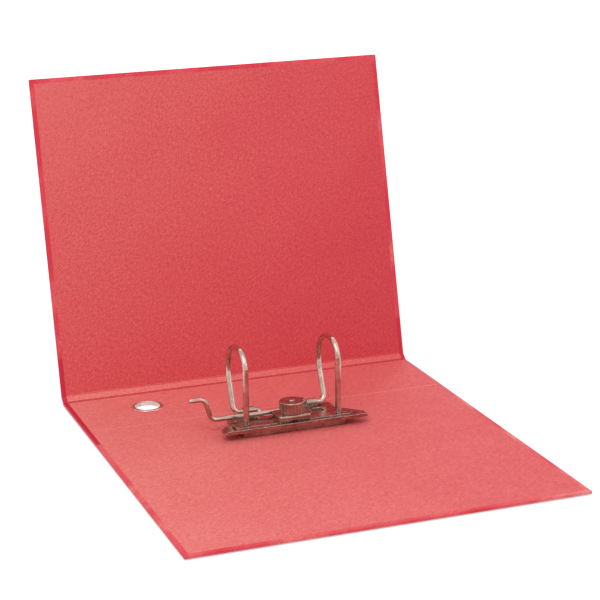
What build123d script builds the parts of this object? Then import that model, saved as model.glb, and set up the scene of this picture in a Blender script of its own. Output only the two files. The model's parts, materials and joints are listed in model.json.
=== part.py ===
from build123d import *
import math
import os

# Lever arch file for A4 paper, open on its back cover, in millimetres.
# X runs along the height of the file, from its bottom edge at -X to its top edge at +X.
# Y runs across the spine: the fore edge of the back cover is at -Y, the front cover at +Y.
# Z is up and zero is the surface that the file lies on.

# Case: boards, papers and folds
FILE_HEIGHT = 318.0        # bottom edge to top edge, over the papers
COVER_WIDTH = 272.0        # fold to fore edge, over the papers
SPINE_WIDTH = 70.0         # fold to fold across the spine board
HINGE_WIDTH = 7.5          # fold to fold across one hinge strip
BOARD_THICK = 2.0
PAPER_THICK = 0.2          # covering paper, spine wrap and lining alike
TURN_IN = 4.0              # border that the covering shows around the lining
WRAP_REACH = 33.0          # how far the spine wrap covers each cover
FOLD_REST = 76.5           # bend at the front fold with the file standing open, 90 when shut
FOLD_GAP = 0.15            # between a hinge strip's round edge and the board beside it
PAPER_RELIEF = 0.8         # bare line that each paper leaves on either side of a fold
EDGE_ROUND = 0.5           # soft edge of the covered boards
CORNER_ROUND = 1.2         # outer corners of the covers, seen from above
HEAD_STAND = 0.6           # how far rivet heads and the finger ring stand out of the case

# Spine furniture
LABEL_LENGTH = 141.0
LABEL_WIDTH = 57.0
LABEL_THICK = 0.15
LABEL_LOW_EDGE = 124.0     # above the bottom edge of the file
LABEL_ASIDE = 1.8          # off the middle of the spine, towards the front cover
RING_HEIGHT = 64.5         # middle of the finger ring above the bottom edge
RING_BORE = 21.4
RING_FLANGE = 26.8
RING_WALL = 0.6
RING_FIT = 0.2             # around the ring's barrel in the boards

# Mechanism: places
MECH_FROM_BOTTOM = 159.5   # middle of the mechanism above the bottom edge of the file
POST_SPACING = 80.0        # two-hole punching
POST_FROM_FOLD = 56.5      # post line to the back cover's fold

# Mechanism: pressed base
BASE_LENGTH = 92.0
BASE_FRONT = 7.5           # in front of the post line
BASE_REAR = 4.6            # behind the axle
BASE_TALL = 6.0
BASE_SHEET = 1.2
BASE_CORNER = 4.0
BASE_BEND = 1.8
DIMPLE_RADIUS = 5.2        # cups pressed down to the cover, one for each rivet
DIMPLE_SPREAD = 29.0       # from the middle of the base to a rivet, along X
REAR_DIMPLE = 12.0         # rear rivets in front of the axle
FRONT_DIMPLE = 7.5         # front rivets behind the post line
RIVET_RADIUS = 2.0
RIVET_HEAD = 4.2
RIVET_HEAD_THICK = 0.9
RIVET_FIT = 0.1
CUP_DRAFT = 12             # degrees that a cup's wall opens towards its mouth

# Mechanism: posts and arches
POST_DIA = 5.0
POST_GROOVE = 0.25         # depth of the ring groove that the catches grip
ARCH_WIRE = 4.4
ARCH_TOP = 68.0            # wire centre at the top of the arches, above the lining
FRONT_SWEEP = 15.0         # radius of the bend over the post
ARCH_FLAT = 5.0            # straight run between the two bends
REAR_SWEEP = 24.5          # radius of the bend down to the rear leg
LEG_LEAN = 24.0            # degrees that the rear leg slants forwards to its foot
ARCH_OVERLAP = 10.0        # wire below the front bend, before the sloping joint cuts it
FOOT_BEND = 5.0
SCARF_ANGLE = 35.0         # slope of the joint between post and arch, from upright
SCARF_GAP = 0.3
AXLE_LIFT = 8.6            # axle of the arches above the lining
CRANK_RADIUS = 7.2
CRANK_DROP = 42.0          # degrees that the crank hangs below its axle with the arches shut
CRANK_HALF = 18.0
CRANK_BEND = 3.4
EYE_WALL = 1.2
EYE_FIT = 0.2
EYE_WIDTH = 9.0
EYE_FROM_MIDDLE = 28.0
CRANK_WINDOW_GAP = 0.8     # around the crank in the top of the base

# Mechanism: lever
LEVER_WIRE = 4.0
LEVER_ARM = 7.0            # lever pivot to roller
ROLLER_RADIUS = 4.0
ROLLER_WIDTH = 6.0
ROLLER_FROM_MIDDLE = 9.6
ROLLER_GAP = 0.3           # between roller and crank
LEVER_PIN = 3.0
PIN_HEAD = 5.4
PIN_HEAD_THICK = 0.8
ROLLER_EDGE = 0.5
PIN_FIT = 0.1
SIDE_PLAY = 0.2            # between plates that turn past each other
HUB_SHEET = 1.2
HUB_RADIUS = 3.4
HUB_TAIL = 15.0            # length of the hub along the lever, from the roller
EAR_SHEET = 1.2
EAR_WIDTH = 7.3
EAR_CLEAR = 0.3            # between an ear and the crank that swings past it
LEVER_REACH = 82.8         # thumb end from the middle of the mechanism
THUMB_LENGTH = 13.0
THUMB_RISE = 18.5
THUMB_RUN = 5.5            # along X, while the lever climbs to its thumb end
LEVER_BEND = 6.0

# Mechanism: compressor bar
BAR_LENGTH = 124.0
BAR_WIDTH = 24.8
BAR_FRONT = 12.5           # in front of the post line
BAR_SHEET = 1.1
BAR_CHAMFER = 13.5         # 45 degree cut of the rear corners
BAR_CORNER = 1.5
BAR_LIP = 1.6              # turned-up front edge, above the bar's top
BAR_SEAT = 0.1             # bar above the base
POST_FIT = 0.35            # around a post in the bar and its catches
CATCH_WIDTH = 9.0
CATCH_SHEET = 0.8
CATCH_END = 49.0           # curled end from the middle
CATCH_CURL = 1.8
BRIDGE_LENGTH = 28.0
BRIDGE_WIDTH = 20.0
BRIDGE_CORNER = 3.0
BRIDGE_BEND = 1.5
BRIDGE_TALL = 5.6
BRIDGE_STEP = 2.6
BRIDGE_TOP = 16.8          # across the raised seat of the knob
BRIDGE_SHEET = 1.0
CATCH_FIT = 0.2            # around a catch where it enters the bridge
KNOB_RADIUS = 10.2
KNOB_TALL = 9.6
KNOB_EDGE = 0.8
KNOB_FLUTES = 18
FLUTE_RADIUS = 1.1
FLUTE_DEPTH = 0.66
FLUTE_END = 1.6            # below the knob's top
KNOB_PLAY = 0.2
KNOB_RIVET = 1.6
KNOB_RIVET_HEAD = 2.56
KNOB_RIVET_THICK = 0.8

# Levels
OUTER_FACE = HEAD_STAND
AXIS_LEVEL = OUTER_FACE + PAPER_THICK + BOARD_THICK / 2
HALF_BOARD = BOARD_THICK / 2
HALF_CASE = HALF_BOARD + PAPER_THICK
LINING_TOP = AXIS_LEVEL + HALF_CASE
BASE_TOP = LINING_TOP + BASE_TALL

# Folds, from the back cover to the front cover; the origin is under the middle of the open file
HALF_FOLD = math.radians(FOLD_REST / 2)
FULL_FOLD = math.radians(FOLD_REST)
STRIP_RUN = HINGE_WIDTH * math.cos(HALF_FOLD)
STRIP_RISE = HINGE_WIDTH * math.sin(HALF_FOLD)
COVER_LEAN = COVER_WIDTH * math.cos(FULL_FOLD) + HALF_CASE * math.sin(FULL_FOLD)
SPREAD = COVER_WIDTH + 2 * HINGE_WIDTH / 2 + SPINE_WIDTH + STRIP_RUN + COVER_LEAN
BACK_FOLD_Y = COVER_WIDTH - SPREAD / 2
SPINE_BACK_Y = BACK_FOLD_Y + HINGE_WIDTH
SPINE_FRONT_Y = SPINE_BACK_Y + SPINE_WIDTH
FRONT_FOLD_Y = SPINE_FRONT_Y + STRIP_RUN
FRONT_FOLD_Z = AXIS_LEVEL + STRIP_RISE
SPINE_MID_Y = SPINE_FRONT_Y - SPINE_WIDTH / 2

# Mechanism axes
MECH_X = MECH_FROM_BOTTOM - FILE_HEIGHT / 2
POST_Y = BACK_FOLD_Y - POST_FROM_FOLD
AXLE_Z = LINING_TOP + AXLE_LIFT
LEAN = math.radians(LEG_LEAN)
ARCH_REAR_Y = POST_Y + FRONT_SWEEP + ARCH_FLAT
LEG_TOP_Y = ARCH_REAR_Y + REAR_SWEEP * math.cos(LEAN)
LEG_TOP_Z = LINING_TOP + ARCH_TOP - REAR_SWEEP - REAR_SWEEP * math.sin(LEAN)
AXLE_Y = LEG_TOP_Y - (LEG_TOP_Z - AXLE_Z) * math.tan(LEAN)
CRANK_FALL = CRANK_RADIUS * math.sin(math.radians(CRANK_DROP))
ROLLER_Z = AXLE_Z - CRANK_FALL + ARCH_WIRE / 2 + ROLLER_GAP + ROLLER_RADIUS
PIVOT_OFFSET = LEVER_ARM * math.sin(math.radians(45))
PIVOT_X = MECH_X + ROLLER_FROM_MIDDLE + PIVOT_OFFSET
PIVOT_Z = ROLLER_Z + PIVOT_OFFSET
CRANK_FRONT_Y = AXLE_Y - CRANK_RADIUS - ARCH_WIRE / 2
REAR_EAR_Y = CRANK_FRONT_Y - EAR_CLEAR - EAR_SHEET
CHEEK_Y = REAR_EAR_Y - SIDE_PLAY - HUB_SHEET
FRONT_EAR_Y = CHEEK_Y - LEVER_WIRE - SIDE_PLAY - EAR_SHEET
WIRE_Y = CHEEK_Y - LEVER_WIRE / 2
BAR_LOW = BASE_TOP + BAR_SEAT
BAR_HIGH = BAR_LOW + BAR_SHEET
BAR_Y0 = POST_Y - BAR_FRONT
CATCH_HIGH = BAR_HIGH + CATCH_SHEET
GROOVE_TOP = BAR_HIGH + CATCH_SHEET + CATCH_CURL / 2
BRIDGE_HIGH = CATCH_HIGH + BRIDGE_TALL + BRIDGE_STEP
BRIDGE_Y = BAR_Y0 + BAR_WIDTH - BRIDGE_WIDTH / 2


def block(x0, x1, y0, y1, z0, z1):
    return Pos((x0 + x1) / 2, (y0 + y1) / 2, (z0 + z1) / 2) * Box(x1 - x0, y1 - y0, z1 - z0)


def rod_x(x0, x1, y, z, radius):
    return Pos((x0 + x1) / 2, y, z) * Rot(0, 90, 0) * Cylinder(radius, x1 - x0)


def rod_y(x, y0, y1, z, radius):
    return Pos(x, (y0 + y1) / 2, z) * Rot(90, 0, 0) * Cylinder(radius, y1 - y0)


def rod_z(x, y, z0, z1, radius):
    return Pos(x, y, (z0 + z1) / 2) * Cylinder(radius, z1 - z0)


def save(name, shape):
    shape.label = name
    export_step(shape, f"parts/{name}.step")


# Panels are built in a frame on their fold: Y away from the fold, Z zero at mid board.

def cover_board():
    half = FILE_HEIGHT / 2 - PAPER_THICK
    board = block(-half, half, 0, COVER_WIDTH - PAPER_THICK, -HALF_BOARD, HALF_BOARD)
    return board - rod_x(-half, half, 0, 0, HALF_BOARD + FOLD_GAP)


def spine_board():
    half = FILE_HEIGHT / 2 - PAPER_THICK
    board = block(-half, half, -SPINE_WIDTH, 0, -HALF_BOARD, HALF_BOARD)
    board -= rod_x(-half, half, 0, 0, HALF_BOARD + FOLD_GAP)
    return board - rod_x(-half, half, -SPINE_WIDTH, 0, HALF_BOARD + FOLD_GAP)


def hinge_strip():
    half = FILE_HEIGHT / 2 - PAPER_THICK
    strip = block(-half, half, 0, HINGE_WIDTH, -HALF_BOARD, HALF_BOARD)
    strip += rod_x(-half, half, 0, 0, HALF_BOARD)
    return strip + rod_x(-half, half, HINGE_WIDTH, 0, HALF_BOARD)


def jacket(y0, y1, closed_end):
    """Covering of a panel: outside, round the edges, and turned in over the border."""
    half = FILE_HEIGHT / 2
    skin = block(-half, half, y0, y1, -HALF_CASE, HALF_CASE)
    edges = skin.edges().filter_by(Axis.Y)
    if closed_end:
        corners = skin.edges().filter_by(Axis.Z).sort_by(Axis.Y)[-2:]
        skin = fillet(corners, CORNER_ROUND)
        far = max(CORNER_ROUND, EDGE_ROUND)
        rim = skin.edges().filter_by(lambda e: e.center().Y > y0 + far and abs(e.center().Z) > HALF_BOARD)
        skin = fillet(rim, EDGE_ROUND)
    else:
        skin = fillet(edges, EDGE_ROUND)
    inner_end = y1 - PAPER_THICK if closed_end else y1
    border_end = y1 - TURN_IN if closed_end else y1
    inner = half - PAPER_THICK
    border = half - TURN_IN
    skin -= block(-inner, inner, y0, inner_end, -HALF_BOARD, HALF_BOARD)
    return skin - block(-border, border, y0, border_end, HALF_BOARD, HALF_CASE)


def lining(y0, y1):
    border = FILE_HEIGHT / 2 - TURN_IN
    return block(-border, border, y0, y1, HALF_BOARD, HALF_CASE)


BACK_COVER = Pos(0, BACK_FOLD_Y, AXIS_LEVEL) * Rot(0, 0, 180)
BACK_HINGE = Pos(0, BACK_FOLD_Y, AXIS_LEVEL)
SPINE = Pos(0, SPINE_FRONT_Y, AXIS_LEVEL)
FRONT_HINGE = Pos(0, SPINE_FRONT_Y, AXIS_LEVEL) * Rot(FOLD_REST / 2, 0, 0)
FRONT_COVER = Pos(0, FRONT_FOLD_Y, FRONT_FOLD_Z) * Rot(FOLD_REST, 0, 0)


def rivet_points():
    for side in (-1, 1):
        yield MECH_X + side * DIMPLE_SPREAD, AXLE_Y - REAR_DIMPLE
        yield MECH_X + side * DIMPLE_SPREAD, POST_Y + FRONT_DIMPLE


def rivet_holes():
    holes = [rod_z(x, y, -1, BASE_TOP + 1, RIVET_RADIUS + RIVET_FIT) for x, y in rivet_points()]
    return Part() + holes


def ring_hole():
    x = RING_HEIGHT - FILE_HEIGHT / 2
    return rod_z(x, SPINE_MID_Y, -1, LINING_TOP + 1, RING_BORE / 2 + RING_WALL + RING_FIT)


def build_case():
    free = PAPER_RELIEF
    rivets = rivet_holes()
    ring = ring_hole()
    save("back_cover_board", BACK_COVER * cover_board() - rivets)
    save("back_cover_paper", BACK_COVER * jacket(WRAP_REACH, COVER_WIDTH, True) - rivets)
    save("back_cover_wrap", BACK_COVER * jacket(free, WRAP_REACH, False) - rivets)
    save("back_cover_lining", BACK_COVER * lining(free, COVER_WIDTH - TURN_IN) - rivets)
    save("back_hinge_strip", BACK_HINGE * hinge_strip())
    save("back_hinge_wrap", BACK_HINGE * jacket(free, HINGE_WIDTH - free, False))
    save("back_hinge_lining", BACK_HINGE * lining(free, HINGE_WIDTH - free))
    save("spine_board", SPINE * spine_board() - ring)
    save("spine_wrap", SPINE * jacket(free - SPINE_WIDTH, -free, False) - ring)
    save("spine_lining", SPINE * lining(free - SPINE_WIDTH, -free) - ring)
    save("front_hinge_strip", FRONT_HINGE * hinge_strip())
    save("front_hinge_wrap", FRONT_HINGE * jacket(free, HINGE_WIDTH - free, False))
    save("front_hinge_lining", FRONT_HINGE * lining(free, HINGE_WIDTH - free))
    save("front_cover_board", FRONT_COVER * cover_board())
    save("front_cover_paper", FRONT_COVER * jacket(WRAP_REACH, COVER_WIDTH, True))
    save("front_cover_wrap", FRONT_COVER * jacket(free, WRAP_REACH, False))
    save("front_cover_lining", FRONT_COVER * lining(free, COVER_WIDTH - TURN_IN))


def build_label():
    x0 = LABEL_LOW_EDGE - FILE_HEIGHT / 2
    y0 = SPINE_MID_Y + LABEL_ASIDE - LABEL_WIDTH / 2
    label = block(x0, x0 + LABEL_LENGTH, y0, y0 + LABEL_WIDTH, OUTER_FACE - LABEL_THICK, OUTER_FACE)
    save("spine_label", fillet(label.edges().filter_by(Axis.Z), 1.0))


def build_finger_ring():
    """Pressed eyelet: a rounded flange outside, a barrel through the spine, a washer inside."""
    bore = RING_BORE / 2
    rim = RING_FLANGE / 2
    inner_top = LINING_TOP + HEAD_STAND
    place = Pos(RING_HEIGHT - FILE_HEIGHT / 2, SPINE_MID_Y, 0)
    with BuildSketch(Plane.XZ) as flange:
        with BuildLine():
            Polyline((bore, inner_top), (bore, HEAD_STAND))
            ThreePointArc((bore, HEAD_STAND), ((bore + rim) / 2, 0), (rim, HEAD_STAND))
            Polyline((rim, HEAD_STAND), (bore + RING_WALL, HEAD_STAND), (bore + RING_WALL, inner_top))
            Line((bore + RING_WALL, inner_top), (bore, inner_top))
        make_face()
    save("finger_ring", place * revolve(flange.sketch, Axis.Z))
    clear = bore + RING_WALL + RING_FIT / 2
    with BuildSketch(Plane.XZ) as washer:
        with BuildLine():
            ThreePointArc((clear, inner_top), ((clear + rim) / 2, inner_top + HEAD_STAND / 3), (rim, LINING_TOP))
            Polyline((rim, LINING_TOP), (clear, LINING_TOP), (clear, inner_top))
        make_face()
    save("finger_ring_washer", place * revolve(washer.sketch, Axis.Z))


def crank_window():
    """Slot in the base for the crank of the arches, which dips into it."""
    reach = CRANK_HALF + ARCH_WIRE / 2 + CRANK_WINDOW_GAP
    rear = AXLE_Y + CRANK_WINDOW_GAP
    return block(MECH_X - reach, MECH_X + reach, REAR_EAR_Y + EAR_SHEET, rear, LINING_TOP, BASE_TOP)


def ear(y0):
    """Upright ear that carries the lever pin; its foot keeps clear of the roller."""
    foot = ROLLER_FROM_MIDDLE + MECH_X + ROLLER_RADIUS + 2 * ROLLER_GAP
    profile = Plane.XZ * Polygon((foot, BASE_TOP - BASE_SHEET), (foot + EAR_WIDTH, BASE_TOP - BASE_SHEET),
                                 (PIVOT_X + HUB_RADIUS, PIVOT_Z), (foot, PIVOT_Z), align=None)
    profile += Plane.XZ * Pos(PIVOT_X, PIVOT_Z) * Circle(HUB_RADIUS)
    return Pos(0, y0, 0) * extrude(profile, EAR_SHEET, dir=(0, 1, 0))


def build_base():
    """Pressed tray on the lining, with riveting cups, eyes for the arches and ears for the lever."""
    y0 = POST_Y - BASE_FRONT
    y1 = AXLE_Y + BASE_REAR
    x0 = MECH_X - BASE_LENGTH / 2
    x1 = MECH_X + BASE_LENGTH / 2
    sheet = BASE_SHEET
    outer = block(x0, x1, y0, y1, LINING_TOP, BASE_TOP)
    outer = fillet(outer.edges().filter_by(Axis.Z), BASE_CORNER)
    outer = fillet(outer.faces().sort_by(Axis.Z)[-1].edges(), BASE_BEND)
    inner = block(x0 + sheet, x1 - sheet, y0 + sheet, y1 - sheet, LINING_TOP, BASE_TOP - sheet)
    base = outer - fillet(inner.edges().filter_by(Axis.Z), BASE_CORNER - sheet)
    for x, y in rivet_points():
        cup = rod_z(x, y, LINING_TOP, BASE_TOP - sheet / 2, DIMPLE_RADIUS)
        base += cup
        base -= Pos(x, y, LINING_TOP + sheet) * extrude(Circle(DIMPLE_RADIUS - sheet), BASE_TALL, taper=-CUP_DRAFT)
        base -= rod_z(x, y, LINING_TOP, BASE_TOP, RIVET_RADIUS + RIVET_FIT)
    base -= crank_window()
    for side in (-1, 1):
        x = MECH_X + side * EYE_FROM_MIDDLE
        eye = rod_x(x - EYE_WIDTH / 2, x + EYE_WIDTH / 2, AXLE_Y, AXLE_Z, ARCH_WIRE / 2 + EYE_FIT + EYE_WALL)
        base += eye
        base -= rod_x(x - EYE_WIDTH, x + EYE_WIDTH, AXLE_Y, AXLE_Z, ARCH_WIRE / 2 + EYE_FIT)
        post = MECH_X + side * POST_SPACING / 2
        base -= rod_z(post, POST_Y, LINING_TOP, BASE_TOP, POST_DIA / 2)
    base += ear(FRONT_EAR_Y)
    base += ear(REAR_EAR_Y)
    base -= rod_y(PIVOT_X, FRONT_EAR_Y - 1, REAR_EAR_Y + EAR_SHEET + 1, PIVOT_Z, LEVER_PIN / 2 + PIN_FIT)
    save("base_plate", base)


def build_rivets():
    rivets = []
    for x, y in rivet_points():
        seat = LINING_TOP + BASE_SHEET
        shank = rod_z(x, y, HEAD_STAND / 2, seat + RIVET_HEAD_THICK / 2, RIVET_RADIUS)
        outside = rod_z(x, y, 0, HEAD_STAND, RIVET_HEAD)
        outside = chamfer(outside.faces().sort_by(Axis.Z)[0].edges(), HEAD_STAND / 2)
        inside = rod_z(x, y, seat, seat + RIVET_HEAD_THICK, RIVET_HEAD - 1)
        inside = fillet(inside.faces().sort_by(Axis.Z)[-1].edges(), RIVET_HEAD_THICK / 2)
        rivets.append((shank + outside + inside).solid())
    save("base_rivets", Compound(children=rivets))


def scarf(offset):
    """Half space above the sloping joint between a post and its arch."""
    cut = Pos(0, POST_Y, LINING_TOP + ARCH_TOP - FRONT_SWEEP) * Rot(SCARF_ANGLE, 0, 0)
    return cut * Pos(0, FILE_HEIGHT / 2 + offset, 0) * Box(FILE_HEIGHT, FILE_HEIGHT, FILE_HEIGHT)


def build_posts():
    for name, side in (("lower_post", -1), ("upper_post", 1)):
        x = MECH_X + side * POST_SPACING / 2
        top = LINING_TOP + ARCH_TOP - FRONT_SWEEP + POST_DIA
        post = rod_z(x, POST_Y, LINING_TOP, top, POST_DIA / 2) - scarf(0)
        neck = POST_DIA / 2 - POST_GROOVE
        post -= rod_z(x, POST_Y, BAR_LOW, GROOVE_TOP, POST_DIA) - rod_z(x, POST_Y, BAR_LOW, GROOVE_TOP, neck)
        save(name, post)


def arc_point(y, z, radius, degrees):
    """Point on the bend around (y, z), counted from straight up towards the rear."""
    turn = math.radians(degrees)
    return y + radius * math.sin(turn), z + radius * math.cos(turn)


def arch_path():
    """Wire centre line of one arch and half the crank that joins the two, arches shut."""
    x = -POST_SPACING / 2
    top = LINING_TOP + ARCH_TOP
    low = top - FRONT_SWEEP
    bend_y = POST_Y + FRONT_SWEEP
    drop = math.radians(CRANK_DROP)
    crank_y = AXLE_Y - CRANK_RADIUS * math.cos(drop)
    crank_z = AXLE_Z - CRANK_RADIUS * math.sin(drop)
    front = Line((x, POST_Y, low - ARCH_OVERLAP), (x, POST_Y, low))
    over = ThreePointArc((x, POST_Y, low), (x, *arc_point(bend_y, low, FRONT_SWEEP, -45)), (x, bend_y, top))
    flat = Line((x, bend_y, top), (x, ARCH_REAR_Y, top))
    down = ThreePointArc((x, ARCH_REAR_Y, top), (x, *arc_point(ARCH_REAR_Y, top - REAR_SWEEP, REAR_SWEEP, 60)),
                         (x, LEG_TOP_Y, LEG_TOP_Z))
    leg = FilletPolyline((x, LEG_TOP_Y, LEG_TOP_Z), (x, AXLE_Y, AXLE_Z), (-CRANK_HALF, AXLE_Y, AXLE_Z),
                         (-CRANK_HALF, crank_y, crank_z), (0, crank_y, crank_z),
                         radius=[FOOT_BEND, CRANK_BEND, CRANK_BEND])
    return [front, over, flat, down, leg]


def build_arches():
    """One bent wire: arch, axle, crank, axle, arch."""
    half = Wire(Curve() + arch_path())
    start = Plane(origin=half @ 0, z_dir=half % 0)
    wire = sweep(start * Circle(ARCH_WIRE / 2), path=half)
    wire = Pos(MECH_X, 0, 0) * (wire + mirror(wire, Plane.YZ))
    behind = Pos(0, POST_Y + POST_DIA + FILE_HEIGHT / 2, 0) * Box(FILE_HEIGHT, FILE_HEIGHT, FILE_HEIGHT)
    save("arch_bail", wire & (scarf(SCARF_GAP) + behind))


def lever_path():
    z = ROLLER_Z
    tip = MECH_X - LEVER_REACH
    return FilletPolyline((tip, WIRE_Y, z + THUMB_RISE), (tip + THUMB_LENGTH, WIRE_Y, z + THUMB_RISE),
                          (tip + THUMB_LENGTH + THUMB_RUN, WIRE_Y, z), (PIVOT_X - HUB_RADIUS, WIRE_Y, z),
                          radius=LEVER_BEND)


def build_lever():
    path = lever_path()
    wire = sweep(Plane(origin=path @ 0, z_dir=path % 0) * Circle(LEVER_WIRE / 2), path=path)
    ends = wire.faces().filter_by(GeomType.PLANE).sort_by(Axis.X)
    wire = fillet(ends[0].edges(), LEVER_WIRE * 0.35)
    save("lever", wire)


def build_lever_hub():
    """Pressed cheek welded to the lever, with the bush on the pivot and the roller's seat."""
    roller_x = MECH_X + ROLLER_FROM_MIDDLE
    tail = roller_x - HUB_TAIL
    half = LEVER_WIRE / 2
    ray = Vector(PIVOT_X - roller_x, PIVOT_Z - ROLLER_Z).normalized() * HUB_RADIUS
    web = Polygon((roller_x - ray.Y, ROLLER_Z + ray.X), (PIVOT_X - ray.Y, PIVOT_Z + ray.X),
                  (PIVOT_X + ray.Y, PIVOT_Z - ray.X), (roller_x + ray.Y, ROLLER_Z - ray.X), align=None)
    tongue = Pos((tail + roller_x) / 2, ROLLER_Z) * Rectangle(roller_x - tail, LEVER_WIRE)
    outline = web + tongue + Pos(tail, ROLLER_Z) * Circle(half)
    outline += Pos(PIVOT_X, PIVOT_Z) * Circle(HUB_RADIUS) + Pos(roller_x, ROLLER_Z) * Circle(HUB_RADIUS)
    hub = Pos(0, CHEEK_Y, 0) * extrude(Plane.XZ * outline, HUB_SHEET, dir=(0, 1, 0))
    hub += rod_y(PIVOT_X, CHEEK_Y - LEVER_WIRE, CHEEK_Y, PIVOT_Z, HUB_RADIUS)
    start = REAR_EAR_Y + EAR_SHEET + SIDE_PLAY
    hub += rod_y(roller_x, CHEEK_Y + HUB_SHEET, start - SIDE_PLAY, ROLLER_Z, LEVER_PIN)
    hub -= rod_y(PIVOT_X, CHEEK_Y - LEVER_WIRE - 1, CHEEK_Y + HUB_SHEET + 1, PIVOT_Z, LEVER_PIN / 2 + PIN_FIT)
    hub -= rod_y(roller_x, CHEEK_Y - 1, start, ROLLER_Z, LEVER_PIN / 2)
    save("lever_hub", hub)
    head = FRONT_EAR_Y - PIN_FIT - PIN_HEAD_THICK
    pin = rod_y(PIVOT_X, head, REAR_EAR_Y + EAR_SHEET, PIVOT_Z, LEVER_PIN / 2)
    pin += rod_y(PIVOT_X, head, head + PIN_HEAD_THICK, PIVOT_Z, PIN_HEAD / 2)
    save("lever_pivot_pin", pin)
    roller = rod_y(roller_x, start, start + ROLLER_WIDTH, ROLLER_Z, ROLLER_RADIUS)
    roller = fillet(roller.edges().filter_by(GeomType.CIRCLE), ROLLER_EDGE)
    roller -= rod_y(roller_x, start - 1, start + ROLLER_WIDTH + 1, ROLLER_Z, LEVER_PIN / 2 + PIN_FIT)
    save("lever_roller", roller)
    end = start + ROLLER_WIDTH + SIDE_PLAY
    axle = rod_y(roller_x, CHEEK_Y, end + PIN_HEAD_THICK, ROLLER_Z, LEVER_PIN / 2)
    axle += rod_y(roller_x, end, end + PIN_HEAD_THICK, ROLLER_Z, PIN_HEAD / 2)
    save("roller_pin", axle)


def post_holes():
    holes = [rod_z(MECH_X + side * POST_SPACING / 2, POST_Y, BASE_TOP, BRIDGE_HIGH, POST_DIA / 2 + POST_FIT)
             for side in (-1, 1)]
    return Part() + holes


def build_bar():
    """Flat bar over both posts, rear corners cut off, front edge turned up."""
    half = BAR_LENGTH / 2
    y1 = BAR_Y0 + BAR_WIDTH
    cut = BAR_CHAMFER
    outline = Polygon((MECH_X - half, BAR_Y0), (MECH_X + half, BAR_Y0), (MECH_X + half, y1 - cut),
                      (MECH_X + half - cut, y1), (MECH_X - half + cut, y1), (MECH_X - half, y1 - cut), align=None)
    outline = fillet(outline.vertices(), BAR_CORNER)
    bar = Pos(0, 0, BAR_LOW) * extrude(outline, BAR_SHEET)
    with BuildSketch(Plane.YZ) as lip:
        with BuildLine():
            Polyline((BAR_Y0, BAR_LOW + BAR_SHEET), (BAR_Y0, BAR_HIGH + BAR_LIP))
            Polyline((BAR_Y0, BAR_HIGH + BAR_LIP), (BAR_Y0 + BAR_SHEET, BAR_HIGH + BAR_LIP))
            RadiusArc((BAR_Y0 + BAR_SHEET, BAR_HIGH + BAR_LIP), (BAR_Y0 + BAR_SHEET + BAR_LIP, BAR_HIGH), BAR_LIP)
            Polyline((BAR_Y0 + BAR_SHEET + BAR_LIP, BAR_HIGH), (BAR_Y0 + BAR_SHEET + BAR_LIP, BAR_LOW + BAR_SHEET / 2),
                     (BAR_Y0 + BAR_SHEET, BAR_LOW + BAR_SHEET / 2), (BAR_Y0, BAR_LOW + BAR_SHEET))
        make_face()
    edge = Pos(MECH_X - half + BAR_CORNER, 0, 0) * extrude(lip.sketch, BAR_LENGTH - 2 * BAR_CORNER, dir=(1, 0, 0))
    save("compressor_bar", bar + edge - post_holes())


def build_catches():
    """Sprung strips under the bridge that grip the posts; their ends curl up."""
    for name, side in (("lower_catch", -1), ("upper_catch", 1)):
        inner = BRIDGE_LENGTH / 2 - 2 * BRIDGE_SHEET
        curl = CATCH_CURL
        with BuildSketch(Plane.XZ) as profile:
            with BuildLine():
                Line((inner, BAR_HIGH), (CATCH_END, BAR_HIGH))
                RadiusArc((CATCH_END, BAR_HIGH), (CATCH_END + curl, BAR_HIGH + curl), -curl)
                Line((CATCH_END + curl, BAR_HIGH + curl), (CATCH_END + curl - CATCH_SHEET, BAR_HIGH + curl))
                RadiusArc((CATCH_END + curl - CATCH_SHEET, BAR_HIGH + curl), (CATCH_END, CATCH_HIGH), curl - CATCH_SHEET)
                Polyline((CATCH_END, CATCH_HIGH), (inner, CATCH_HIGH), (inner, BAR_HIGH))
            make_face()
        strip = Pos(0, POST_Y - CATCH_WIDTH / 2, 0) * extrude(profile.sketch, CATCH_WIDTH, dir=(0, 1, 0))
        if side < 0:
            strip = mirror(strip, Plane.YZ)
        save(name, Pos(MECH_X, 0, 0) * strip - post_holes())


def build_bridge():
    """Stepped pressing that covers the catches and carries the knob."""
    low = BAR_HIGH
    mid = CATCH_HIGH + BRIDGE_TALL
    place = Pos(MECH_X, BRIDGE_Y, 0)
    inner = RectangleRounded(BRIDGE_LENGTH - 2 * BRIDGE_SHEET, BRIDGE_WIDTH - 2 * BRIDGE_SHEET,
                             BRIDGE_CORNER - BRIDGE_SHEET)
    body = Pos(0, 0, low) * extrude(RectangleRounded(BRIDGE_LENGTH, BRIDGE_WIDTH, BRIDGE_CORNER), mid - low)
    body = fillet(body.faces().sort_by(Axis.Z)[-1].edges(), BRIDGE_BEND)
    body += rod_z(0, 0, low, BRIDGE_HIGH, BRIDGE_TOP / 2)
    body -= Pos(0, 0, low) * extrude(inner, mid - low - BRIDGE_SHEET)
    body -= rod_z(0, 0, low, BRIDGE_HIGH - BRIDGE_SHEET, BRIDGE_TOP / 2 - BRIDGE_SHEET)
    body -= rod_z(0, 0, low, BRIDGE_HIGH, KNOB_RIVET)
    slot = CATCH_WIDTH / 2 + CATCH_FIT
    body = place * body - block(MECH_X - BRIDGE_LENGTH, MECH_X + BRIDGE_LENGTH, POST_Y - slot, POST_Y + slot,
                                low, CATCH_HIGH + CATCH_FIT)
    save("compressor_bridge", body)


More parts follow.
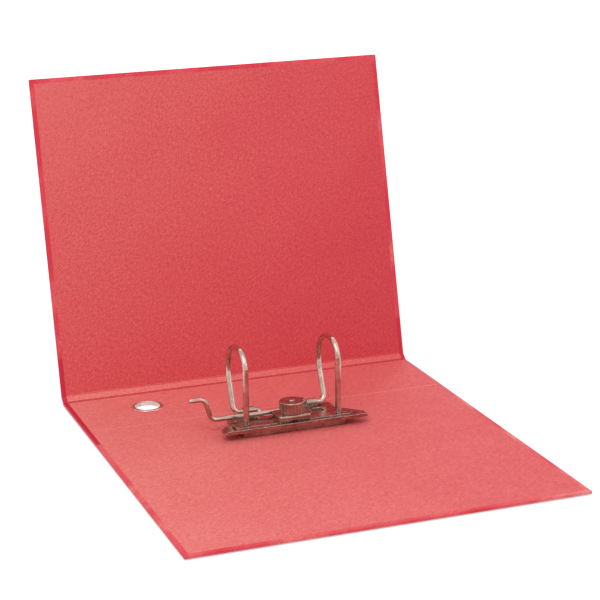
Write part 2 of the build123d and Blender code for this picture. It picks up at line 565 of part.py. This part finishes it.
def build_knob():
    """Fluted cup that turns on a rivet and locks the bar on the posts."""
    low = BRIDGE_HIGH - BRIDGE_STEP + KNOB_PLAY
    high = low + KNOB_TALL
    place = Pos(MECH_X, BRIDGE_Y, 0)
    knob = rod_z(0, 0, low, high, KNOB_RADIUS)
    knob = fillet(knob.faces().sort_by(Axis.Z)[-1].edges(), KNOB_EDGE)
    knob -= rod_z(0, 0, low, BRIDGE_HIGH + KNOB_PLAY, BRIDGE_TOP / 2 + KNOB_PLAY)
    knob -= rod_z(0, 0, low, high, KNOB_RIVET + PIN_FIT)
    flute = rod_z(KNOB_RADIUS + FLUTE_RADIUS - FLUTE_DEPTH, 0, low, high - FLUTE_END, FLUTE_RADIUS)
    knob -= [Rot(0, 0, i * 360 / KNOB_FLUTES) * flute for i in range(KNOB_FLUTES)]
    save("compressor_knob", place * knob)
    seat = high + PIN_FIT
    rivet = rod_z(0, 0, BRIDGE_HIGH - BRIDGE_SHEET, seat, KNOB_RIVET)
    head = rod_z(0, 0, seat, seat + KNOB_RIVET_THICK, KNOB_RIVET_HEAD)
    head = fillet(head.faces().sort_by(Axis.Z)[-1].edges(), KNOB_RIVET_THICK * 0.6)
    save("knob_rivet", place * (rivet + head))


os.makedirs("parts", exist_ok=True)
build_case()
build_label()
build_finger_ring()
build_base()
build_rivets()
build_posts()
build_arches()
build_lever()
build_lever_hub()
build_bar()
build_catches()
build_bridge()
build_knob()
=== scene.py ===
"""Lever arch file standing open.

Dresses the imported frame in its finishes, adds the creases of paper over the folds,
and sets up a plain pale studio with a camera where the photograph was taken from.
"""
import json
import math

import bmesh
import bpy
from mathutils import Matrix, Vector


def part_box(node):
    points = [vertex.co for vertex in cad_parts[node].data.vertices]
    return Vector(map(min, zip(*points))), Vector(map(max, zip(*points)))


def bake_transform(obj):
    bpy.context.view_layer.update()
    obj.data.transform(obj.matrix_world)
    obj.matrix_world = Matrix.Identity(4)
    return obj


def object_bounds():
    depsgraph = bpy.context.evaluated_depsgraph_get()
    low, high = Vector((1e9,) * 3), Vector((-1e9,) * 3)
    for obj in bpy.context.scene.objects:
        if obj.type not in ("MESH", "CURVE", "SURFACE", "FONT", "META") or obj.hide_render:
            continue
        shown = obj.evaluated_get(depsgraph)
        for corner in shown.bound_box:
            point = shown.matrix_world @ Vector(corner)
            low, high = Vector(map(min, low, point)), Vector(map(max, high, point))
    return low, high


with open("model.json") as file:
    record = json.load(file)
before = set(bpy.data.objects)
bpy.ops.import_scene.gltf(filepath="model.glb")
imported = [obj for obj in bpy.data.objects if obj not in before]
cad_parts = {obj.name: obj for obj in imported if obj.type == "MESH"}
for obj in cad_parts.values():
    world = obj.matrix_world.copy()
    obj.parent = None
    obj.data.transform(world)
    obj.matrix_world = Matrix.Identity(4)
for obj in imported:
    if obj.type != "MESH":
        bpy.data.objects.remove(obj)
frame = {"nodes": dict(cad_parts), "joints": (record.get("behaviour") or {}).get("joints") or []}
cad_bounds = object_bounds()

MM = 0.001


def colour(red, green, blue):
    """A colour written as 0 to 255 on screen, as the shaders want it (the sRGB curve)."""
    def linear(c):
        c /= 255
        return c / 12.92 if c <= 0.04045 else ((c + 0.055) / 1.055) ** 2.4
    return linear(red), linear(green), linear(blue), 1.0


# Sizes are in metres and angles in degrees. A SPAN is the range of a pattern's values that a
# finish uses, and a ROUGH pair is the shader's roughness at the two ends of such a range.

# Camera, with its lens and sensor in millimetres
CAMERA_AT = Vector((-506.6, -1393.4, 540.7)) * MM
CAMERA_AZIMUTH = -20.21
CAMERA_ELEVATION = 16.07
CAMERA_ROLL = -0.88
CAMERA_LENS = 115.7
CAMERA_SENSOR = 36.0
CAMERA_NEAR = 0.05

LINE_SOFT = 0.15            # half of a printed line's soft edge, as a share of its width

# Linen emboss of the papers: short strokes that cross, over flecks and a faint weave
STROKE = 1.25 * MM
STROKE_SETS = ((42, 2.6, 0.42), (-52, 2.2, 0.26))   # spin, stretch and share of the height
FLECK = 0.9 * MM
FLECK_SHARE = 0.2
FLECK_SPAN = (0.2, 0.8)
WARP_PITCH = 2.0 * MM
WEFT_PITCH = 1.7 * MM
RIB_SHARE = 0.06
RIB_WAVER = 2.0
EMBOSS_SPAN = (0.3, 0.7)
EMBOSS_DEPTH = 0.12 * MM
EMBOSS_STRENGTH = 0.9

# Lining paper, with tones from red to light
LINING_TONES = (colour(218, 74, 82), colour(230, 108, 106), colour(238, 138, 130))
# painted shade: the standing front cover's lining is a darker copy of the same paper's tones, for
# the smaller share of light an upright face gets
STANDING_SHADED_TONES = (colour(206, 52, 66), colour(219, 80, 84), colour(229, 110, 106))
TONE_PLACES = (0.0, 0.5, 1.0)
TONE_MIDDLE = 0.5
LINING_DRIFT = 0.22         # lighter by this at the bottom edge, redder by it at the top edge
FLAT_RISE_PAINTED_SHADE = -0.05           # lighter by this at the back cover's fore edge: less than 0 is redder; this redder fore edge is painted shade that evens out the back lamp's light there
STANDING_RISE = 0.14        # lighter by this at the standing front cover's fore edge
LINING_GRAIN = 0.44         # swing of the emboss between the tones
BLOT_SWING = 0.1            # swing of the large faint blots
BLOT_SPAN = (0.2, 0.8)
BLOT_SIZE = 70 * MM
BLOT_SPIN = 40
BLOT_STRETCH = 1.5
LINING_ROUGH = (0.6, 0.78)

# Covering paper, clouded from red to salmon
CLOUD_TONES = ((0.3, colour(219, 46, 66)), (0.41, colour(227, 70, 84)),
               (0.52, colour(233, 106, 108)), (0.68, colour(243, 156, 145)))
CLOUD_SIZE = 44 * MM
CLOUD_SPIN = 48
CLOUD_STRETCH = 1.9
CLOUD_SHARE = 0.8
WISP_SIZE = 13 * MM
WISP_SPIN = 62
WISP_STRETCH = 3.2
WISP_SHARE = 0.2
CLOUD_GRAIN = 0.085
CLOUD_ROUGH = (0.55, 0.72)
FLAT_BORDER = 0.07          # how much redder the back cover's turned-in border is
STANDING_BORDER = 0.14      # and the standing front cover's
BORDER_FADE = 0.2 * MM

# Spine wrap, with a pale line round it
WRAP_DEEP = colour(193, 17, 48)
WRAP_RED = colour(209, 24, 56)
WRAP_SPAN = (0.3, 0.6)
WRAP_BLOT = 45 * MM
WRAP_BLOT_SHARE = 0.7
WRAP_FIBRE = 0.5 * MM
WRAP_FIBRE_SHARE = 0.3
WRAP_FIBRE_DEPTH = 0.012 * MM
WRAP_ROUGH = (0.38, 0.5)
LINE_PINK = colour(236, 150, 156)
LINE_HEIGHT = 100.6 * MM    # above the bottom edge
LINE_WIDTH = 0.9 * MM

# Label and grey board
FIBRE_SPAN = (0.3, 0.7)
LABEL_SHADE = colour(243, 240, 240)
LABEL_WHITE = colour(248, 245, 245)
LABEL_GREY = colour(168, 168, 172)
LABEL_FIBRE = 0.4 * MM
LABEL_FIBRE_DEPTH = 0.01 * MM
LABEL_ROWS = 7
LABEL_LINE = 0.45 * MM
LABEL_MARGIN = 2.6 * MM
BOARD_DARK = colour(122, 109, 94)
BOARD_GREY = colour(150, 136, 118)
BOARD_FIBRE = 1.8 * MM
BOARD_FIBRE_DEPTH = 0.1 * MM

# Metals: each one's dull tone, bright tone and roughness at the two ends of WEAR_SPAN. The tones
# are darker and pinker than bare nickel and steel: painted reflection of the red papers round
# them.
METALS_WITH_PAINTED_REFLECTION = {
    "bright_nickel": (colour(166, 137, 126), colour(207, 180, 168), (0.13, 0.26)),
    "pressed_steel": (colour(130, 102, 93), colour(178, 150, 138), (0.19, 0.33)),
    "ring_nickel": (colour(166, 137, 126), colour(222, 202, 192), (0.28, 0.42)),
}
TARNISH_SPAN = (0.32, 0.6)
WEAR_SPAN = (0.3, 0.7)
HAZE_SIZE = 9 * MM
HAZE_SHARE = 0.7
MARK_SIZE = 0.9 * MM
MARK_STRETCH = 6
MARK_SHARE = 0.3
MARK_DEPTH = 0.004 * MM
EDGE_ROUND = 0.35 * MM      # edges catch the light as if they were rounded by this
EDGE_SAMPLES = 6
EDGE_FACING = (0.99, 0.88)  # cosine between the rounded and the true normal where the painted edge highlight begins and where it is full
# share of the painted highlight at a full edge
EDGE_HIGHLIGHT_SHARE = 0.8
# colour of the painted highlight along the metal's edges
EDGE_HIGHLIGHT = colour(232, 216, 206)

# Creases
TURNED_IN = 4.0 * MM        # border that the covering shows round the lining
COVER_TURN = 0.5 * MM       # radius of the covered boards' round edge
CREASE_REACH = 1.6 * MM     # how far a crease runs out on either side of its fold
CREASE_SKIN = 0.07 * MM     # how far it lies over the papers that it joins
CREASE_EDGE = 0.01 * MM     # and how far still at its feathered edges
CREASE_DIP = 0.17 * MM      # how far the lining is pressed into a fold
DIP_REACH = 0.3             # how far that dip spreads, as a share of the crease's reach
CREASE_STEPS = 12
CORNER_STEPS = 4
SMOOTH_BELOW = 50           # sharper bends keep an edge in their shading
FOLD_LINES_AND_CREASE_SHADE = {            # width and tone of the line along a fold of the lining; at the spine's front fold it is a dark line of painted shade in the crease
    "back": (1.2 * MM, colour(239, 136, 127)),
    # painted shade: a dark red line down the crease between the spine and the front hinge strip
    "spine_front": (3.4 * MM, colour(186, 22, 44)),
}

# Studio
WHITE = (1.0, 1.0, 1.0, 1.0)
FLOOR_TONE = (0.8, 0.8, 0.8, 1.0)
FLOOR_REACH = 12.0
FLOOR_LEVEL = -0.3 * MM
FLOOR_FAR = (0.7, 2.5)      # distances between which the floor's white changes
FLOOR_LIFT = (0.46, 0.68)   # white added to the floor at those distances, where it is seen
AMBIENT = 0.5               # light of the world, which is seen as full white
LAMPS = (                   # name, azimuth, elevation, distance, size, share
    ("key", -40, 52, 2.2, 1.6, 0.46),
    ("fill", 55, 35, 2.6, 2.0, 0.16),
    ("back", 165, 38, 2.6, 2.0, 0.22),
)


class Nodes:
    """A node tree, with short calls for the nodes that this scene uses."""

    def __init__(self, tree):
        self.tree = tree

    def add(self, kind, **settings):
        """A new node with these settings."""
        node = self.tree.nodes.new(kind)
        for key, value in settings.items():
            setattr(node, key, value)
        return node

    def feed(self, socket, source):
        """Links a socket to another node's output, or sets its value."""
        if isinstance(source, bpy.types.NodeSocket):
            self.tree.links.new(source, socket)
        else:
            socket.default_value = source

    def reckon(self, operation, first, second):
        """The result of one operation on two values."""
        node = self.add("ShaderNodeMath", operation=operation)
        self.feed(node.inputs[0], first)
        self.feed(node.inputs[1], second)
        return node.outputs["Value"]

    def sum(self, total, *others):
        """All the values added up."""
        for value in others:
            total = self.reckon("ADD", total, value)
        return total

    def weighted(self, *layers):
        """The sum of the layers, each times its share."""
        return self.sum(*(self.reckon("MULTIPLY", layer, share) for layer, share in layers))

    def level(self, value, span, to):
        """The value carried over from one range to another, and held within it."""
        node = self.add("ShaderNodeMapRange")
        self.feed(node.inputs["Value"], value)
        sockets = ("From Min", "From Max", "To Min", "To Max")
        for socket, end in zip(sockets, (*span, *to)):
            node.inputs[socket].default_value = end
        return node.outputs["Result"]

    def backdrop(self):
        """1 where the camera, a reflection or a view through glass meets the backdrop."""
        path = self.add("ShaderNodeLightPath")
        share = path.outputs["Is Camera Ray"]
        for name in ("Is Glossy Ray", "Is Transmission Ray"):
            share = self.reckon("MAXIMUM", share, path.outputs[name])
        return share


class Finish(Nodes):
    """A material, with the patterns that the finishes share."""

    def __init__(self, name):
        self.material = bpy.data.materials.new(name)
        self.material.use_nodes = True
        super().__init__(self.material.node_tree)
        self.shader = self.tree.nodes["Principled BSDF"]
        self.place = self.add("ShaderNodeTexCoord").outputs["Object"]

    def turned(self, angle):
        """Coordinates in the plane of a panel that leans by this many radians about X."""
        mapping = self.add("ShaderNodeMapping")
        self.feed(mapping.inputs["Vector"], self.place)
        mapping.inputs["Rotation"].default_value = (-angle, 0, 0)
        return mapping.outputs["Vector"]

    def stretched(self, place, spin, factor):
        """Coordinates in which a pattern is drawn out by the factor, along X spun about Z."""
        mapping = self.add("ShaderNodeMapping", vector_type="TEXTURE")
        self.feed(mapping.inputs["Vector"], place)
        mapping.inputs["Rotation"].default_value = (0, 0, math.radians(spin))
        mapping.inputs["Scale"].default_value = (factor, 1, 1)
        return mapping.outputs["Vector"]

    def noise(self, place, size, detail=2.0, roughness=0.5, distortion=0.0):
        """Soft noise from 0 to 1 with blots of about this size."""
        node = self.add("ShaderNodeTexNoise")
        self.feed(node.inputs["Vector"], place)
        node.inputs["Scale"].default_value = 1 / size
        node.inputs["Detail"].default_value = detail
        node.inputs["Roughness"].default_value = roughness
        node.inputs["Distortion"].default_value = distortion
        return node.outputs["Fac"]

    def ribs(self, place, pitch, direction, waver):
        """Rounded ribs of this pitch from 0 to 1; at scale 1 the node has 20 radians a metre."""
        node = self.add("ShaderNodeTexWave", wave_type="BANDS", bands_direction=direction)
        self.feed(node.inputs["Vector"], place)
        node.inputs["Scale"].default_value = 2 * math.pi / 20 / pitch
        node.inputs["Distortion"].default_value = waver
        node.inputs["Detail"].default_value = 1.0
        return node.outputs["Fac"]

    def ramp(self, factor, *stops):
        """Colours at their places along the factor."""
        node = self.add("ShaderNodeValToRGB")
        self.feed(node.inputs["Fac"], factor)
        elements = node.color_ramp.elements
        while len(elements) < len(stops):
            elements.new(1.0)
        for element, (position, tone) in zip(elements, stops):
            element.position = position
            element.color = tone
        return node.outputs["Color"]

    def mix(self, factor, first, second):
        """From the first colour to the second; 6, 7 and 2 are the node's colour sockets."""
        node = self.add("ShaderNodeMix", data_type="RGBA", blend_type="MIX")
        self.feed(node.inputs[0], factor)
        self.feed(node.inputs[6], first)
        self.feed(node.inputs[7], second)
        return node.outputs[2]

    def axis(self, name, place=None):
        """One coordinate."""
        node = self.add("ShaderNodeSeparateXYZ")
        self.feed(node.inputs[0], place or self.place)
        return node.outputs[name]

    def band(self, value, middle, width):
        """1 along a line of this width and 0 beside it, with soft edges."""
        away = self.reckon("ABSOLUTE", self.reckon("SUBTRACT", value, middle), 0.0)
        edge = (width * (0.5 - LINE_SOFT), width * (0.5 + LINE_SOFT))
        return self.level(away, edge, (1.0, 0.0))

    def bump(self, height, distance, strength, normal=None):
        """Relief of the surface, over the normal given."""
        node = self.add("ShaderNodeBump")
        if normal is not None:
            self.feed(node.inputs["Normal"], normal)
        self.feed(node.inputs["Height"], height)
        node.inputs["Distance"].default_value = distance
        node.inputs["Strength"].default_value = strength
        self.feed(self.shader.inputs["Normal"], node.outputs["Normal"])

    def set(self, **values):
        """Feeds the shader's sockets, named with _ for each space."""
        for key, value in values.items():
            self.feed(self.shader.inputs[key.replace("_", " ")], value)


def swing(half):
    """Range of a change by this much either way."""
    return -half, half


def embossed(f, place):
    """Presses the linen emboss into a paper: its height from 0 to 1, and its flecks."""
    layers = [(f.noise(f.stretched(place, spin, stretch), STROKE, detail=1.0), share)
              for spin, stretch, share in STROKE_SETS]
    fleck = f.noise(place, FLECK, detail=3.0, roughness=0.6)
    layers.append((fleck, FLECK_SHARE))
    layers.append((f.ribs(place, WARP_PITCH, "X", RIB_WAVER), RIB_SHARE))
    layers.append((f.ribs(place, WEFT_PITCH, "Y", RIB_WAVER), RIB_SHARE))
    height = f.weighted(*layers)
    f.bump(height, EMBOSS_DEPTH, EMBOSS_STRENGTH)
    return height, fleck


def lining_finish(name, tones, rise, lean=0.0, line=None):
    """Inner paper, mottled pink red; line is the Y, width and tone of a line along a fold, which
    at the spine's front fold is painted shade in the crease.
    """
    f = Finish(name)
    place = f.turned(lean)
    height, fleck = embossed(f, place)
    (low_x, low_y, low_z), (high_x, high_y, high_z) = cad_bounds
    drift = f.level(f.axis("X"), (low_x, high_x), swing(-LINING_DRIFT))
    if lean:
        climb = f.level(f.axis("Z"), (low_z, high_z), swing(rise))
    else:
        # on the flat papers the fore edge turns redder here: painted shade that evens out the back
        # lamp's light there
        climb = f.level(f.axis("Y"), (low_y, high_y), swing(-rise))
    blots = f.noise(f.stretched(place, BLOT_SPIN, BLOT_STRETCH), BLOT_SIZE,
                    detail=3.0, roughness=0.55)
    blots = f.level(blots, BLOT_SPAN, swing(BLOT_SWING))
    grain = f.level(height, EMBOSS_SPAN, swing(LINING_GRAIN))
    tone = f.sum(drift, TONE_MIDDLE, blots, climb, grain)
    skin = f.ramp(tone, *zip(TONE_PLACES, tones))
    if line is not None:
        fold_y, width, shade = line
        # the line along a fold; at the spine's front fold it is painted shade in the crease
        skin = f.mix(f.band(f.axis("Y"), fold_y, width), skin, shade)
    f.set(Base_Color=skin, Roughness=f.level(fleck, FLECK_SPAN, LINING_ROUGH), IOR=1.4)
    return f.material


def cloud_finish(name, middle, border, lean=0.0):
    """Covering paper; above the middle of the boards, its turned-in border is redder."""
    f = Finish(name)
    place = f.turned(lean)
    height, fleck = embossed(f, place)
    clouds = f.noise(f.stretched(place, CLOUD_SPIN, CLOUD_STRETCH), CLOUD_SIZE,
                     detail=4.0, roughness=0.56, distortion=0.25)
    wisps = f.noise(f.stretched(place, WISP_SPIN, WISP_STRETCH), WISP_SIZE,
                    detail=3.0, roughness=0.6)
    inside = f.level(f.axis("Z", place), (middle - BORDER_FADE, middle + BORDER_FADE),
                     (0.0, -border))
    grain = f.level(height, EMBOSS_SPAN, swing(CLOUD_GRAIN))
    tone = f.sum(f.weighted((clouds, CLOUD_SHARE), (wisps, WISP_SHARE)), inside, grain)
    f.set(Base_Color=f.ramp(tone, *CLOUD_TONES),
          Roughness=f.level(fleck, FLECK_SPAN, CLOUD_ROUGH), IOR=1.42)
    return f.material


def wrap_finish(name):
    """Spine wrap: smooth deep red paper with a pale line round it."""
    f = Finish(name)
    fibres = f.noise(f.place, WRAP_FIBRE, detail=3.0, roughness=0.6)
    blots = f.noise(f.place, WRAP_BLOT)
    tone = f.weighted((blots, WRAP_BLOT_SHARE), (fibres, WRAP_FIBRE_SHARE))
    skin = f.ramp(tone, *zip(WRAP_SPAN, (WRAP_DEEP, WRAP_RED)))
    line = f.band(f.axis("X"), cad_bounds[0][0] + LINE_HEIGHT, LINE_WIDTH)
    f.set(Base_Color=f.mix(line, skin, LINE_PINK),
          Roughness=f.level(fibres, FIBRE_SPAN, WRAP_ROUGH), IOR=1.45)
    f.bump(fibres, WRAP_FIBRE_DEPTH, strength=0.6)
    return f.material


def label_finish():
    """White label with thin grey lines between its rows."""
    f = Finish("label_paper")
    fibres = f.noise(f.place, LABEL_FIBRE, detail=3.0, roughness=0.6)
    paper = f.ramp(fibres, *zip(FIBRE_SPAN, (LABEL_SHADE, LABEL_WHITE)))
    low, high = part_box("spine_label")
    row = (high[0] - low[0] - 2 * LABEL_MARGIN) / LABEL_ROWS
    along = f.axis("X")
    lines = 0.0
    for number in range(1, LABEL_ROWS):
        line = f.band(along, low[0] + LABEL_MARGIN + number * row, LABEL_LINE)
        lines = f.reckon("MAXIMUM", lines, line)
    f.set(Base_Color=f.mix(lines, paper, LABEL_GREY), Roughness=0.6)
    f.bump(fibres, LABEL_FIBRE_DEPTH, strength=0.5)
    return f.material


def board_finish():
    """Grey board of the case."""
    f = Finish("grey_board")
    fibres = f.noise(f.place, BOARD_FIBRE, detail=4.0, roughness=0.7)
    f.set(Base_Color=f.ramp(fibres, *zip(FIBRE_SPAN, (BOARD_DARK, BOARD_GREY))), Roughness=0.9)
    f.bump(fibres, BOARD_FIBRE_DEPTH, strength=0.7)
    return f.material


def metal_finish(name):
    """Plated steel with faint tarnish and handling marks, and a painted highlight along its edges.
    """
    f = Finish(name)
    dull, bright, rough = METALS_WITH_PAINTED_REFLECTION[name]
    haze = f.noise(f.place, HAZE_SIZE, detail=4.0, roughness=0.6)
    marks = f.noise(f.stretched(f.place, 0, MARK_STRETCH), MARK_SIZE, roughness=0.6)
    wear = f.weighted((haze, HAZE_SHARE), (marks, MARK_SHARE))
    rounded = f.add("ShaderNodeBevel", samples=EDGE_SAMPLES)
    rounded.inputs["Radius"].default_value = EDGE_ROUND
    sharp = f.add("ShaderNodeNewGeometry")
    facing = f.add("ShaderNodeVectorMath", operation="DOT_PRODUCT")
    f.feed(facing.inputs[0], rounded.outputs["Normal"])
    f.feed(facing.inputs[1], sharp.outputs["Normal"])
    # painted highlight along the edges, where the rounded normal turns away from the true one
    edge = f.level(facing.outputs["Value"], EDGE_FACING, (0.0, EDGE_HIGHLIGHT_SHARE))
    skin = f.mix(edge, f.ramp(wear, *zip(TARNISH_SPAN, (dull, bright))), EDGE_HIGHLIGHT)
    f.set(Base_Color=skin, Metallic=1.0, Roughness=f.level(wear, WEAR_SPAN, rough))
    f.bump(marks, MARK_DEPTH, strength=0.35, normal=rounded.outputs["Normal"])
    return f.material


def fold_line(joint):
    """(y, z) of a fold's axis in the section of the file."""
    for entry in frame["joints"]:
        if entry["name"] == joint:
            return Vector(entry["pos_m"][1:])
    raise ValueError(f"no joint {joint}")


def strip_lean():
    """How far the front hinge strip leans at rest, in radians; the cover leans twice that."""
    strip = fold_line("front_fold_at_cover") - fold_line("front_fold")
    return math.atan2(strip.y, strip.x)


def turned_vector(y, z, angle):
    """(y, z) turned about X by this many radians."""
    c, s = math.cos(angle), math.sin(angle)
    return Vector((y * c - z * s, y * s + z * c))


def covering_profile(half, case):
    """Section along the fold of the covering, from one turned-in border to the other.

    half is half of the file's height, and case is how far the covering lies from the fold's
    axis on either side. Each point is (x, distance from the axis).
    """
    def side(sign):
        points = [(sign * (half - TURNED_IN), case)]
        for corner, start in ((1, 90), (-1, 0)):
            for step in range(CORNER_STEPS + 1):
                angle = math.radians(start - 90 * step / CORNER_STEPS)
                points.append((sign * (half - COVER_TURN + COVER_TURN * math.cos(angle)),
                               corner * (case - COVER_TURN) + COVER_TURN * math.sin(angle)))
        return points
    return side(1) + side(-1)[::-1]


def crease_ring(profile, share, leans, inside):
    """Points round a crease's section at this share of its reach, out and back again.

    share runs from -1 on one panel to 1 on the other, leans are those of the two panels in
    radians, and the points are measured from the fold's axis.
    """
    before, after = leans
    passed = (share + 1) / 2
    eased = passed * passed * (3 - 2 * passed)  # so that it leaves either panel smoothly
    lean = before + eased * (after - before)
    cover = CREASE_SKIN * (1 - share ** 4) + CREASE_EDGE
    dip = CREASE_DIP * math.exp(-(share / DIP_REACH) ** 2) if inside else 0
    outer, inner = [], []
    for number, (x, height) in enumerate(profile):
        ahead = Vector(profile[min(number + 1, len(profile) - 1)])
        behind = Vector(profile[max(number - 1, 0)])
        run = (ahead - behind).normalized()
        normal = Vector((0, 1)) if inside else Vector((-run.y, run.x))
        for rise, points in ((cover - dip, outer), (-dip, inner)):
            point = Vector((x, height)) + normal * rise
            y, z = turned_vector(share * CREASE_REACH, point.y, lean)
            points.append(Vector((point.x, y, z)))
    return outer + inner[::-1]


def skin_faces(rings, count):
    """Faces of a closed skin over this many rings of count points, with its two ends."""
    faces = []
    for ring in range(rings - 1):
        near, far = ring * count, (ring + 1) * count
        for here in range(count):
            there = (here + 1) % count
            faces.append((near + here, near + there, far + there, far + here))
    for start in (0, (rings - 1) * count):
        last = start + count - 1
        for here in range(count // 2 - 1):
            faces.append((start + here, start + here + 1, last - here - 1, last - here))
    return faces


def smooth(piece):
    """Turns the faces outwards and shades the bends smoothly."""
    work = bmesh.new()
    work.from_mesh(piece.data)
    bmesh.ops.recalc_face_normals(work, faces=work.faces)
    for face in work.faces:
        face.smooth = True
    work.to_mesh(piece.data)
    work.free()
    piece.data.set_sharp_from_angle(angle=math.radians(SMOOTH_BELOW))


def crease(name, joint, leans, inside, finish):
    """A strip of paper over one fold, bent between the leans of its two panels."""
    axis = Vector((0, *fold_line(joint)))
    half = cad_bounds[1][0]
    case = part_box("spine_lining")[1][2] - fold_line("front_fold")[1]
    if inside:
        profile = [(half - TURNED_IN, case), (TURNED_IN - half, case)]
    else:
        profile = covering_profile(half, case)
    rings = [crease_ring(profile, step / CREASE_STEPS - 1, leans, inside)
             for step in range(2 * CREASE_STEPS + 1)]
    verts = [axis + point for ring in rings for point in ring]
    mesh = bpy.data.meshes.new(name)
    mesh.from_pydata(verts, [], skin_faces(len(rings), len(rings[0])))
    piece = bpy.data.objects.new(name, mesh)
    bpy.context.scene.collection.objects.link(piece)
    smooth(piece)
    mesh.materials.append(finish)
    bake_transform(piece)


def build_creases(lean):
    """Two creases over each fold, of the lining inside and of the spine wrap outside."""
    wrap = wrap_finish("spine_wrap_crease")
    folds = (
        ("back", "back_fold", ("back_cover", "back_hinge"), (0, 0)),
        ("spine_back", "back_fold_at_spine", ("back_hinge", "spine"), (0, 0)),
        ("spine_front", "front_fold", ("spine", "front_hinge"), (0, lean)),
        ("front", "front_fold_at_cover", ("front_hinge", "front_cover"), (lean, 2 * lean)),
    )
    for name, joint, bodies, leans in folds:
        line = (fold_line(joint).x, *FOLD_LINES_AND_CREASE_SHADE[name]) if name in FOLD_LINES_AND_CREASE_SHADE else None
        lining = lining_finish(f"lining_paper_crease_{name}", LINING_TONES, FLAT_RISE_PAINTED_SHADE, line=line)
        crease(f"crease_{name}_lining", joint, leans, True, lining)
        crease(f"crease_{name}_wrap", joint, leans, False, wrap)


def dress(node, finish):
    """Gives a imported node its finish."""
    slots = frame["nodes"][node].data.materials
    for number in range(len(slots)):
        slots[number] = finish
    if len(slots) == 0:
        slots.append(finish)


def dress_nodes(lean):
    """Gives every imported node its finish; the front cover leans by twice the strip's lean."""
    flat_middle = fold_line("back_fold").y
    standing_middle = turned_vector(*fold_line("front_fold_at_cover"), -2 * lean).y
    lining = lining_finish("lining_paper", LINING_TONES, FLAT_RISE_PAINTED_SHADE)
    wrap = wrap_finish("spine_wrap_paper")
    board = board_finish()
    nickel = metal_finish("bright_nickel")
    pressed = metal_finish("pressed_steel")
    ring = metal_finish("ring_nickel")
    finishes = {
        "back_cover_paper": cloud_finish("cover_paper_flat", flat_middle, FLAT_BORDER),
        "front_cover_paper": cloud_finish("cover_paper_standing", standing_middle,
                                          STANDING_BORDER, 2 * lean),
        "front_cover_lining": lining_finish("lining_paper_standing_shaded", STANDING_SHADED_TONES,
                                            STANDING_RISE, 2 * lean),
        "spine_label": label_finish(),
        "finger_ring": ring,
        "finger_ring_washer": ring,
    }
    for node in frame["nodes"]:
        if node in finishes:
            dress(node, finishes[node])
        elif node.endswith("_wrap"):
            dress(node, wrap)
        elif node.endswith("_lining"):
            dress(node, lining)
        elif node.endswith(("_board", "_strip")):
            dress(node, board)
        elif node.startswith(("base_plate", "compressor", "lever_hub")) or node.endswith("_catch"):
            dress(node, pressed)
        else:
            dress(node, nickel)


def build_floor():
    """A pale floor that is lifted to white where the camera sees it."""
    corners = [(x * FLOOR_REACH, y * FLOOR_REACH, FLOOR_LEVEL)
               for x, y in ((-1, -1), (1, -1), (1, 1), (-1, 1))]
    mesh = bpy.data.meshes.new("floor")
    mesh.from_pydata(corners, [], [(0, 1, 2, 3)])
    floor = bpy.data.objects.new("floor", mesh)
    bpy.context.scene.collection.objects.link(floor)
    f = Finish("floor")
    away = f.add("ShaderNodeVectorMath", operation="LENGTH")
    f.feed(away.inputs[0], f.place)
    lift = f.level(away.outputs["Value"], FLOOR_FAR, FLOOR_LIFT)
    f.set(Base_Color=FLOOR_TONE, Roughness=0.9, Specular_IOR_Level=0.1, Emission_Color=WHITE,
          Emission_Strength=f.reckon("MULTIPLY", f.backdrop(), lift))
    mesh.materials.append(f.material)


def build_world():
    """Plain white all round, which lights the file less than it shows."""
    world = bpy.data.worlds.new("studio")
    bpy.context.scene.world = world
    world.use_nodes = True
    nodes = Nodes(world.node_tree)
    background = nodes.tree.nodes["Background"]
    background.inputs["Color"].default_value = WHITE
    strength = nodes.level(nodes.backdrop(), (0.0, 1.0), (AMBIENT, 1.0))
    nodes.feed(background.inputs["Strength"], strength)


def outwards(azimuth, elevation):
    """Direction from the file to a place round it; azimuth 0 is on the side of -Y."""
    a, e = math.radians(azimuth), math.radians(elevation)
    return Vector((math.sin(a) * math.cos(e), -math.cos(a) * math.cos(e), math.sin(e)))


def soft_lamp(name, azimuth, elevation, distance, size, share):
    """A square soft box aimed at the file; share is the light it gives a surface facing it."""
    away = outwards(azimuth, elevation)
    middle = (Vector(cad_bounds[0]) + Vector(cad_bounds[1])) / 2
    data = bpy.data.lights.new(name, "AREA")
    data.shape = "SQUARE"
    data.size = size
    data.energy = share * math.pi ** 2 * distance ** 2
    lamp = bpy.data.objects.new(name, data)
    lamp.location = middle + away * distance
    lamp.rotation_euler = away.to_track_quat("Z", "Y").to_euler()
    bpy.context.scene.collection.objects.link(lamp)


def build_camera():
    """The photograph's camera."""
    back = outwards(CAMERA_AZIMUTH, CAMERA_ELEVATION)
    right = Vector((0, 0, 1)).cross(back).normalized()
    up = back.cross(right)
    roll = math.radians(CAMERA_ROLL)
    c, s = math.cos(roll), math.sin(roll)
    right, up = right * c + up * s, up * c - right * s
    data = bpy.data.cameras.new("camera")
    data.lens = CAMERA_LENS
    data.sensor_width = CAMERA_SENSOR
    data.clip_start = CAMERA_NEAR
    camera = bpy.data.objects.new("camera", data)
    turn = Matrix((right, up, back)).transposed()
    camera.matrix_world = Matrix.Translation(CAMERA_AT) @ turn.to_4x4()
    bpy.context.scene.collection.objects.link(camera)
    bpy.context.scene.camera = camera


front_lean = strip_lean()
build_creases(front_lean)
dress_nodes(front_lean)
build_floor()
build_world()
for lamp_settings in LAMPS:
    soft_lamp(*lamp_settings)
build_camera()
bpy.context.scene.view_settings.view_transform = "Standard"
